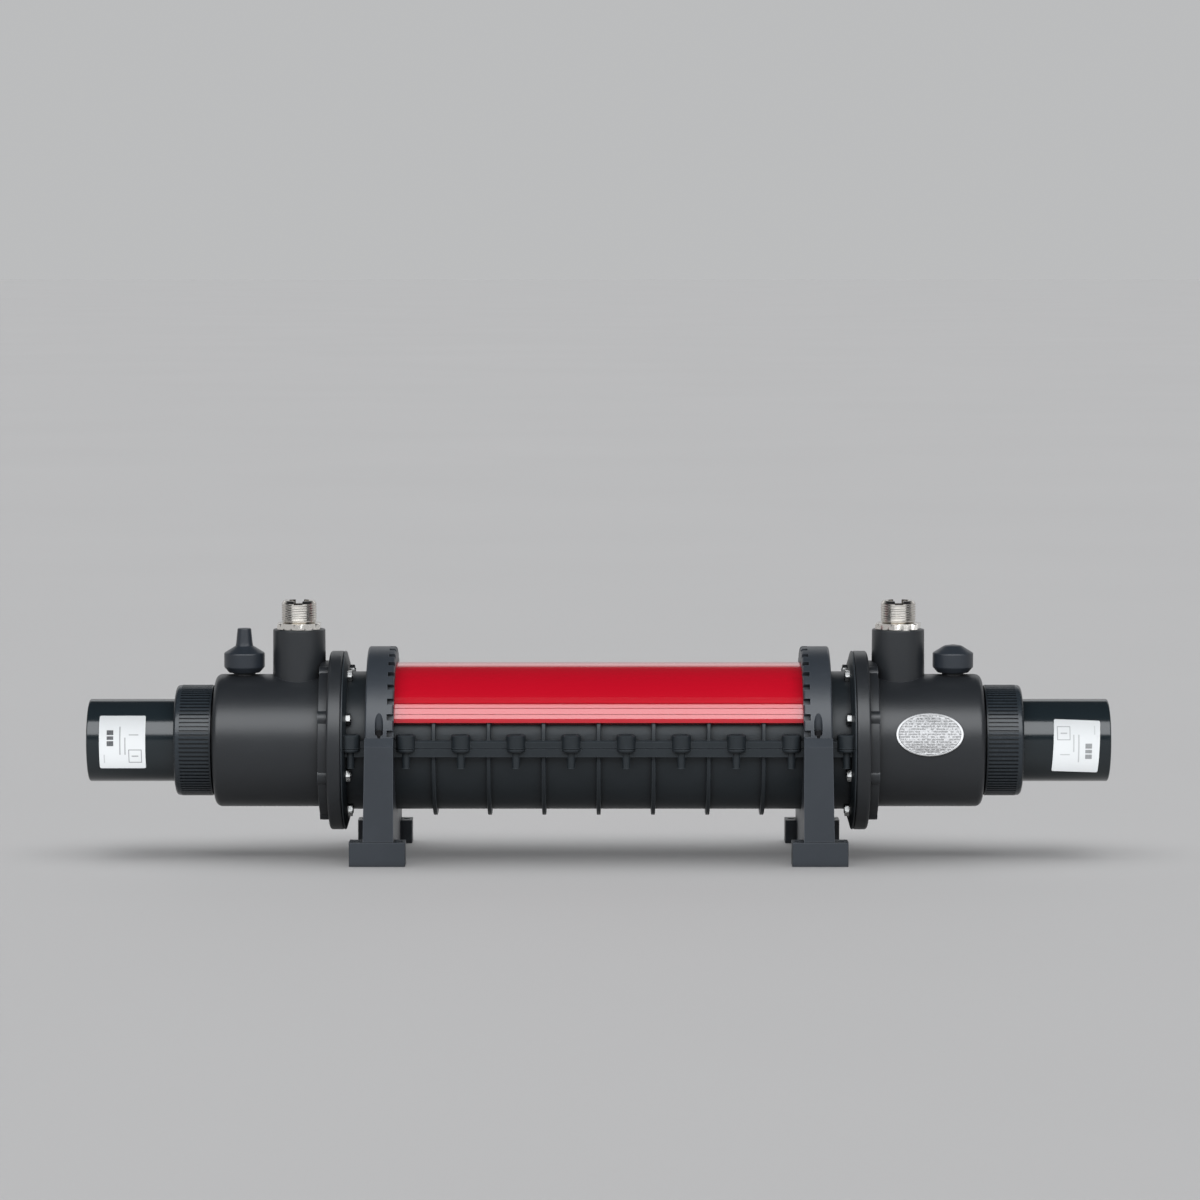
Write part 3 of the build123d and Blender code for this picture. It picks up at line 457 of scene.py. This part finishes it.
def badgeMetal(look):
    finish = Finish("stippledBadgeMetal", {"Metallic": 1.0})
    place = finish.place()
    x, y, z = finish.split(place)
    climb = z / look["rowHeight"]
    row = finish.calculate("FLOOR", climb)
    inRow = abs(climb - row - 0.5) < look["rowShare"] / 2
    # each row reads its own stretch of the noise, so its dashes fall in places of their own
    along = finish.node("ShaderNodeCombineXYZ", None, {0: x / look["dashLength"], 1: row * look["rowStep"]})
    dashes = inRow * (finish.noise(along, 1.0, 1.0) > look["dashLevel"])
    speck = finish.noise(place, *look["speck"])
    field = 1.0 - finish.node("ShaderNodeAttribute", {"attribute_name": "raised"}, out=2)
    pressed = finish.clamp(dashes * look["dashShade"] + (speck - 0.5) * look["speckShade"]) * field
    finish.use("Base Color", finish.mix(look["bright"], look["dim"], pressed * look["pressedShade"]))
    uneven = field * look["fieldDull"] + (speck - 0.5) * look["speckDull"]
    finish.use("Roughness", look["roughness"] + uneven)
    finish.use("Normal", finish.bump(pressed * -1.0, look["relief"]))
    return finish.material


# labels: white film with a few plain printed bars, measured from each label's middle

labelLook = {
    "paper": (0.62, 0.63, 0.63), "shade": (0.56, 0.57, 0.58), "ink": (0.040, 0.042, 0.047),
    "strength": {"left": 1.0, "right": 0.72}, "turned": {"left": 1.0, "right": -1.0},  # -1 is upside down
    # left, right, bottom, top in millimetres, then how dark
    "bars": [
        (-11.6, -6.6, -2.4, 9.4, 0.95),
        (-2.2, -1.2, -9.0, 12.0, 0.55),
        (1.6, 2.6, -9.0, 4.0, 0.50),
        (5.0, 12.2, 5.6, 6.4, 0.55),
        (4.6, 5.2, -15.2, -5.0, 0.75),
        (14.0, 14.6, -15.2, -5.0, 0.75),
        (4.6, 14.6, -15.2, -14.6, 0.75),
        (4.6, 14.6, -5.6, -5.0, 0.75),
        (7.0, 12.0, -10.6, -9.6, 0.60),
        (-14.0, -13.2, -15.5, -9.0, 0.35),
    ],
    "gaps": [(-11.7, -6.5, 1.4, 2.3), (-11.7, -6.5, 5.0, 5.9)],  # left white across the first bar
    "spread": (900.0, 3.0, 0.6), "fibres": ((300.0, 300.0, 1400.0), 3.0),
    "inkLeast": 0.75, "inkSpread": 0.4, "fibreShade": 0.4, "roughness": 0.42, "fibreDull": 0.12,
    "inkGloss": 0.08, "inkRelief": 0.6, "relief": 0.00002,
}


def labelFilm(side, look):
    finish = Finish(side + "LabelFilm", {"Specular IOR Level": 0.45})
    low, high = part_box(side + "_tail_label")
    middle = (low + high) / 2
    place = finish.place()
    x, y, z = finish.split(place)
    toMillimetres = 1000.0 * look["turned"][side]
    across = (x - middle.x) * toMillimetres
    up = (z - middle.z) * toMillimetres

    def patch(left, right, bottom, top):
        return (across > left) * (across < right) * (up > bottom) * (up < top)

    ink = None
    for left, right, bottom, top, dark in look["bars"]:
        bar = patch(left, right, bottom, top) * dark
        ink = bar if ink is None else finish.calculate("MAXIMUM", ink, bar)
    for gap in look["gaps"]:
        ink = ink * (1.0 - patch(*gap))
    spread = finish.noise(place, *look["spread"])
    fibres = finish.noise(place, *look["fibres"])
    printed = ink * look["strength"][side] * (look["inkLeast"] + spread * look["inkSpread"])
    paper = finish.mix(look["paper"], look["shade"], fibres * look["fibreShade"])
    finish.use("Base Color", finish.mix(paper, look["ink"], finish.clamp(printed)))
    uneven = (fibres - 0.5) * look["fibreDull"]
    finish.use("Roughness", look["roughness"] + uneven - ink * look["inkGloss"])
    finish.use("Normal", finish.bump(fibres + ink * look["inkRelief"], look["relief"]))
    return finish.material


finishes = {
    "shell_plastic": mouldedPlastic("satinShellPlastic", shellLook),
    "housing_plastic": mouldedPlastic("satinHousingPlastic", housingLook),
    "bracket_plastic": mouldedPlastic("grainedBracketPlastic", bracketLook),
    "plug_plastic": mouldedPlastic("plugPlastic", plugLook),
    "nut_plastic": mouldedPlastic("unionNutPlastic", nutLook),
    "tail_abs": glossTailPlastic(tailLook),
    "cover_red": redCoverPlastic(coverLook),
    "nickel_plate": nickelPlate(nickelLook),
    "bright_steel": brightSteel(brightSteelLook),
    "black_steel": blackScrewSteel(blackScrewLook),
    "titanium": titaniumTube(titaniumLook),
    "seal_rubber": sealRubber(rubberLook),
    "badge_metal": badgeMetal(badgeLook),
}
slotOf = {part["node"]: part["material_slot"] for part in frame["record"]["subparts"]}
for nodeName, piece in nodes.items():
    slotName = slotOf[nodeName]
    if slotName == "label_white":
        chosen = labelFilm(nodeName.split("_")[0], labelLook)
    else:
        chosen = finishes[slotName]
    if not piece.data.materials:
        piece.data.materials.append(chosen)
    for index in range(len(piece.data.materials)):
        piece.data.materials[index] = chosen
print("finishes made and given to the CAD pieces")


# modelling helpers

meshLook = {"weld": 0.000004, "sharpAngle": 32.0}


def addObject(name, mesh):
    data = bpy.data.meshes.new(name)
    mesh.to_mesh(data)
    mesh.free()
    piece = bpy.data.objects.new(name, data)
    bpy.context.scene.collection.objects.link(piece)
    return piece


def makePiece(name, mesh, slotName, body, sharpAngle=meshLook["sharpAngle"]):
    # smooth all over, except along edges that turn by more than the sharp angle
    bmesh.ops.remove_doubles(mesh, verts=mesh.verts, dist=meshLook["weld"])
    bmesh.ops.recalc_face_normals(mesh, faces=mesh.faces)
    for face in mesh.faces:
        face.smooth = True
    for edge in mesh.edges:
        if len(edge.link_faces) == 2 and edge.calc_face_angle() > radians(sharpAngle):
            edge.smooth = False
    piece = addObject(name, mesh)
    piece.data.materials.append(finishes[slotName])
    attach(piece, body)
    return piece


def addRows(mesh, rows, joined=False):
    # skins rows of points that each go round; the last row joins the first, or else both are capped
    made = [[mesh.verts.new(point) for point in row] for row in rows]
    count = len(made[0])
    nextRows = made[1:] + [made[0]] if joined else made[1:]
    for below, above in zip(made, nextRows):
        for step in range(count):
            after = (step + 1) % count
            mesh.faces.new((below[step], below[after], above[after], above[step]))
    if not joined:
        mesh.faces.new(made[0])
        mesh.faces.new(made[-1])
    return made


class Rings:
    # rings of points round one line; pointAt(along, angle, radius) places a point
    def __init__(self, steps, pointAt):
        self.angles = [2 * pi * step / steps for step in range(steps)]
        self.pointAt = pointAt

    def ring(self, along, radii):
        return [self.pointAt(along, angle, radius) for angle, radius in zip(self.angles, radii)]

    def circle(self, along, radius):
        return self.ring(along, [radius] * len(self.angles))

    def hexagon(self, along, acrossFlats, turned, reach):
        # its corners are chamfered off beyond the reach
        fromFlats = [(angle - turned + pi / 6) % (pi / 3) - pi / 6 for angle in self.angles]
        return self.ring(along, [acrossFlats / 2 * min(1 / cos(angle), reach) for angle in fromFlats])


threadForm = {"slope": 3.0, "rootCut": 0.25}


def threadWave(turnsAlong):
    # 1 on a crest, 0 in a root, flanks between
    fromRoot = abs(turnsAlong % 1.0 - 0.5)
    return min(1.0, max(0.0, fromRoot * threadForm["slope"] - threadForm["rootCut"]))


# port connectors: chamfered hexagon collar, pipe thread with a run-out, slot across the end

def buildConnector(side, look):
    low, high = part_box(side + "_port_connector")
    middle = (low + high) / 2
    bottom, collarTop, top = (barrelAxis + look[key] for key in ("collarBottom", "collarTop", "threadTop"))
    start, end = collarTop + look["threadStart"], top - look["threadEnd"]

    def pointAt(height, angle, radius):
        return middle.x + radius * cos(angle), middle.y + radius * sin(angle), height

    rings = Rings(look["steps"], pointAt)

    def hexRing(height, reach):
        return rings.hexagon(height, look["acrossFlats"], look["hexTurn"][side], reach)

    def threadRing(height):
        turns = (height - start) / look["pitch"]
        risen = min(1.0, turns)  # the crest rises from nothing over the first turn
        lead = look["crest"] - look["leadCut"] + (end - height) * look["leadSlope"]
        waves = [threadWave(turns - angle / (2 * pi)) * risen for angle in rings.angles]
        return rings.ring(height, [min(lead, look["crest"] - look["depth"] * (1 - wave)) for wave in waves])

    count = int((end - start) / look["pitch"] * look["ringsPerTurn"])
    rows = [rings.circle(height, look["stemRadius"]) for height in (bottom - look["stemDepth"], bottom)]
    rows += [hexRing(bottom + rise, reach) for rise, reach in look["foot"]]
    rows += [hexRing(collarTop + rise, reach) for rise, reach in look["crown"]]
    rows += [rings.circle(collarTop + rise, radius) for rise, radius in look["runOut"]]
    rows += [threadRing(start + (end - start) * index / count) for index in range(count + 1)]
    rows += [rings.circle(top + rise, radius) for rise, radius in look["mouth"]]
    rows.append(rings.circle(barrelAxis + look["boreFloor"], look["bore"]))
    mesh = bmesh.new()
    addRows(mesh, rows)
    whole = makePiece(side + "PortConnector", mesh, "nickel_plate", "root")
    cutSlot(whole, middle, top, look)
    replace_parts(whole, side + "_port_connector")


def cutSlot(whole, middle, top, look):
    # right across the thread's end, with a flared mouth
    halfLength = look["crest"] * look["slotReach"]
    rows = []
    for rise, flare in look["slotLevels"]:
        halfWidth = look["slotWidth"] / 2 + flare
        rows.append([(middle.x + signX * halfWidth, middle.y + signY * halfLength, top + rise)
                     for signX, signY in ((-1, -1), (1, -1), (1, 1), (-1, 1))])
    mesh = bmesh.new()
    addRows(mesh, rows)
    bmesh.ops.recalc_face_normals(mesh, faces=mesh.faces)
    cutter = addObject("slotCutter", mesh)
    cut = whole.modifiers.new("slot", "BOOLEAN")
    cut.operation = "DIFFERENCE"
    cut.solver = "EXACT"
    cut.object = cutter
    bpy.context.view_layer.update()
    finished = bpy.data.meshes.new_from_object(whole.evaluated_get(bpy.context.evaluated_depsgraph_get()))
    whole.modifiers.clear()
    whole.data = finished
    bpy.data.objects.remove(cutter)


for side in sides:
    buildConnector(side, connectorLook)
print("port connectors done")


# flange studs and nuts: chamfered nuts, each turned its own way, on studs with a rolled thread

studLook = {
    "count": 8, "circle": 0.0550, "firstAngle": 22.5, "steps": 60,
    # distances from the middle of the barrel to the face that the nuts sit on, and to the studs' tips
    "seat": 0.1900, "tip": 0.1844,
    "nutFlats": 0.0080, "thickness": 0.0050, "washerRadius": 0.0042, "washerThick": 0.0003,
    "flatsTurn": 158.0, "nutTurns": (0.0, 24.0, -3.0, 2.0, -2.0, 3.0, -4.0, 11.0),
    # steps from the seat, then from the nut's free face, each with how far the chamfered corners reach
    "foot": ((-0.0003, 1.08), (-0.0005, cornerReach)),
    "crown": ((0.0004, cornerReach), (0.0001, 1.04), (0.0, 0.97)),
    "holeRoom": 0.0001, "holeChamfer": 0.0004,
    "studRadius": 0.00245, "tipRadii": (0.0012, 0.00185), "pitch": 0.0008, "depth": 0.00035,
    "ringsPerTurn": 8, "threadStart": 0.0003, "threadInside": 0.0016, "leadCut": 0.0005, "leadSlope": 0.9,
    "buried": 0.004,
}


def buildStuds(side, look):
    way = sides[side]
    seat, tip = look["seat"], look["tip"]
    freeFace = seat - look["thickness"]
    hole = look["studRadius"] + look["holeRoom"]
    start, end = tip + look["threadStart"], freeFace + look["threadInside"]
    threadRings = int((end - start) / look["pitch"] * look["ringsPerTurn"])
    nutMesh, studMesh = bmesh.new(), bmesh.new()
    for number in range(look["count"]):
        around = radians(look["firstAngle"] + 360.0 / look["count"] * number)
        centreY, centreZ = look["circle"] * cos(around), barrelAxis + look["circle"] * sin(around)
        turned = radians(look["flatsTurn"] + look["nutTurns"][number])

        def pointAt(out, angle, radius):
            return way * out, centreY + radius * cos(angle), centreZ + radius * sin(angle)

        rings = Rings(look["steps"], pointAt)

        def hexRing(out, reach):
            return rings.hexagon(out, look["nutFlats"], turned, reach)

        def threadRing(out):
            turns = (out - start) / look["pitch"]
            lead = look["studRadius"] - look["leadCut"] + (out - tip) * look["leadSlope"]
            waves = [threadWave(turns - way * angle / (2 * pi)) for angle in rings.angles]
            crest, depth = look["studRadius"], look["depth"]
            return rings.ring(out, [min(lead, crest - depth * (1 - wave)) for wave in waves])

        rows = [rings.circle(seat, hole)]
        rows += [rings.circle(out, look["washerRadius"]) for out in (seat, seat - look["washerThick"])]
        rows += [hexRing(seat + step, reach) for step, reach in look["foot"]]
        rows += [hexRing(freeFace + step, reach) for step, reach in look["crown"]]
        rows.append(rings.circle(freeFace, hole + look["holeChamfer"]))
        rows.append(rings.circle(freeFace + look["holeChamfer"], hole))
        addRows(nutMesh, rows, joined=True)
        rows = [rings.circle(tip, radius) for radius in look["tipRadii"]]
        rows += [threadRing(start + (end - start) * index / threadRings) for index in range(threadRings + 1)]
        rows.append(rings.circle(seat + look["buried"], look["studRadius"]))
        addRows(studMesh, rows)
    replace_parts(makePiece(side + "FlangeNuts", nutMesh, "bright_steel", "root"), side + "_flange_nuts")
    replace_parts(makePiece(side + "FlangeStuds", studMesh, "bright_steel", "root"), side + "_flange_studs")


for side in sides:
    buildStuds(side, studLook)
print("flange studs and nuts done")


def badgeProfile(share, look):
    # height above the seat, and how raised: 0 on the field, 1 on the rim
    slopeFoot = look["rimInside"] - look["slopeWidth"]
    raised = min(1.0, max(0.0, (share - slopeFoot) / look["slopeWidth"]))
    pastEdge = max(0.0, share - look["edgeStart"]) / (1.0 - look["edgeStart"])
    height = look["fieldHeight"] + (look["rimHeight"] - look["fieldHeight"]) * raised
    return height * (1.0 - pastEdge * look["edgeDrop"]), raised


def buildBadge(look):
    low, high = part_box("badge")
    middleX = (low.x + high.x) / 2
    seat = look["housingRadius"] + look["seat"]

    def pointAt(height, angle, share):
        # on an oval wrapped round the housing, its middle turned up from the front by the lean
        along, up = look["radii"][0] * share * cos(angle), look["radii"][1] * share * sin(angle)
        climb = radians(look["lean"]) + asin(up / seat)
        radius = seat + height
        return middleX + along, -radius * cos(climb), barrelAxis + radius * sin(climb)

    rings = Rings(look["spokes"], pointAt)
    slopeSteps = [step / (look["slopeRings"] - 1) for step in range(look["slopeRings"])]
    slopeRings = [look["rimInside"] - look["slopeWidth"] * (1 - step) for step in slopeSteps]
    rows, raisedOf = [], []
    for share in (*look["fieldRings"], *slopeRings, *look["rimRings"]):
        height, raised = badgeProfile(share, look)
        rows.append(rings.circle(height, share))
        raisedOf.append(raised)
    rows.append(rings.circle(0.0, 1.0))
    raisedOf.append(1.0)
    mesh = bmesh.new()
    raisedLayer = mesh.verts.layers.float.new("raised")
    for row, raised in zip(addRows(mesh, rows), raisedOf):
        for vert in row:
            vert[raisedLayer] = raised
    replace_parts(makePiece("ovalBadge", mesh, "badge_metal", "root", look["sharpAngle"]), "badge")


buildBadge(badgeLook)
print("badge done")


# stage: a pale floor under suns of its own, softboxes that each light chosen pieces, air that is pale
# low down and dark overhead, camera from the front

floorLook = {
    "half": 40.0, "drop": 0.0002, "colour": (0.60, 0.60, 0.605), "shade": (0.57, 0.57, 0.575),
    "cloud": (1.3, 3.0), "fine": (260.0, 3.0), "relief": 0.0001, "roughness": 0.75,
    "suns": {"floorSun": (1.3, True), "floorGlow": (1.0, False)},  # strength, and whether it casts shadows
    "sunSpread": 75.0,
}


def linkLight(lamp, state, pieces):
    # the lamp lights only these pieces, or with EXCLUDE all but these
    group = bpy.data.collections.new(lamp.name + "Pieces")
    lamp.light_linking.receiver_collection = group
    for piece in pieces:
        group.objects.link(piece)
    for entry in group.collection_objects:
        entry.light_linking.link_state = state


def buildFloor(look):
    finish = Finish("paleFloor", {"Roughness": look["roughness"], "Specular IOR Level": 0.25})
    place = finish.place()
    cloud = finish.noise(place, *look["cloud"])
    finish.use("Base Color", finish.mix(look["colour"], look["shade"], cloud))
    finish.use("Normal", finish.bump(finish.noise(place, *look["fine"]), look["relief"]))
    mesh = bmesh.new()
    half = look["half"]
    corners = ((-half, -half), (half, -half), (half, half), (-half, half))
    mesh.faces.new([mesh.verts.new((x, y, -look["drop"])) for x, y in corners])
    floor = addObject("studioFloor", mesh)
    floor.data.materials.append(finish.material)
    # suns that only the floor receives keep it pale all the way back
    for name, (strength, shadow) in look["suns"].items():
        sun = bpy.data.lights.new(name, "SUN")
        sun.energy = strength
        sun.angle = radians(look["sunSpread"])
        sun.use_shadow = shadow
        lamp = bpy.data.objects.new(name, sun)
        bpy.context.scene.collection.objects.link(lamp)
        linkLight(lamp, "INCLUDE", [floor])
    return floor


# each box: elevation and azimuth in degrees, distance, height, width, watts, whether gloss mirrors it
boxes = {
    "frontSoftbox": (40.0, 0.0, 1.7, 1.15, 4.2, 68.0, True),
    "rearSoftbox": (27.0, 180.0, 1.9, 0.5, 3.6, 2.5, True),
    "fillSoftbox": (4.0, 0.0, 2.6, 0.9, 3.2, 21.0, False),
    "backFill": (10.0, 180.0, 2.4, 1.2, 3.8, 95.0, False),
    "metalSoftbox": (16.0, 0.0, 2.4, 2.8, 5.8, 96.0, True),
    "labelSoftbox": (2.0, 0.0, 2.4, 0.8, 3.0, 108.0, False),
}
boxTint = (0.95, 0.975, 1.0)


def addSoftbox(name, state, pieces):
    elevation, azimuth, distance, height, width, watts, mirrored = boxes[name]
    lamp = bpy.data.lights.new(name, "AREA")
    lamp.shape = "RECTANGLE"
    lamp.size = width
    lamp.size_y = height
    lamp.energy = watts
    lamp.color = boxTint
    box = bpy.data.objects.new(name, lamp)
    rise, turn = radians(elevation), radians(azimuth)
    out = Vector((sin(turn) * cos(rise), -cos(turn) * cos(rise), sin(rise)))
    box.location = Vector((0, 0, barrelAxis)) + out * distance
    box.rotation_euler = (-out).to_track_quat("-Z", "Y").to_euler()
    box.visible_camera = False
    box.visible_glossy = mirrored
    bpy.context.scene.collection.objects.link(box)
    linkLight(box, state, pieces)


airLook = {
    "pale": (0.50, 0.505, 0.51), "dark": (0.030, 0.032, 0.036),
    # where the dark starts and is full, as the sine of the elevation
    "darkInFront": (0.08, 0.17), "darkOverhead": (0.50, 0.62),
    "behindToFront": (0.30, -0.20),  # Y of the direction, where the front's dark starts and is full
}


def lightTheRoom(look):
    # pale low down all round and well up behind, dark overhead and in front from a few degrees up
    world = bpy.data.worlds.new("studioAir")
    world.use_nodes = True
    air = Wiring(world.node_tree)
    y, z = air.split(air.node("ShaderNodeTexCoord"))[1:]
    inFront = air.ramp(z, *look["darkInFront"]) * air.ramp(y, *look["behindToFront"])
    darkness = air.calculate("MAXIMUM", inFront, air.ramp(z, *look["darkOverhead"]))
    background = air.tree.nodes["Background"]
    air.feed(background.inputs["Color"], air.mix(look["pale"], look["dark"], darkness))
    bpy.context.scene.world = world


cameraLook = {
    "stand": (0.001, -3.48, 0.4712), "pitch": 4.58, "lens": 138.8, "sensor": 36.0, "farthest": 200.0,
}


def standCamera(look):
    lens = bpy.data.cameras.new("frontCamera")
    lens.lens = look["lens"]
    lens.sensor_width = look["sensor"]
    lens.clip_end = look["farthest"]
    camera = bpy.data.objects.new("frontCamera", lens)
    camera.location = look["stand"]
    camera.rotation_euler = (radians(90.0 - look["pitch"]), 0, 0)
    bpy.context.scene.collection.objects.link(camera)
    bpy.context.scene.camera = camera


floorPiece = buildFloor(floorLook)
labelPieces = [nodes[side + "_tail_label"] for side in sides]
metalNames = [side + end for side in sides for end in ("PortConnector", "FlangeNuts", "FlangeStuds")]
metalPieces = [bpy.data.objects[name] for name in metalNames + ["ovalBadge"]]
addSoftbox("frontSoftbox", "EXCLUDE", [floorPiece, *labelPieces, *metalPieces])
for name in ("rearSoftbox", "fillSoftbox", "backFill"):
    addSoftbox(name, "EXCLUDE", [floorPiece])
addSoftbox("metalSoftbox", "INCLUDE", metalPieces)
addSoftbox("labelSoftbox", "INCLUDE", labelPieces)
lightTheRoom(airLook)
standCamera(cameraLook)
bpy.context.scene.view_settings.view_transform = "Standard"
print("stage, lights and camera done")
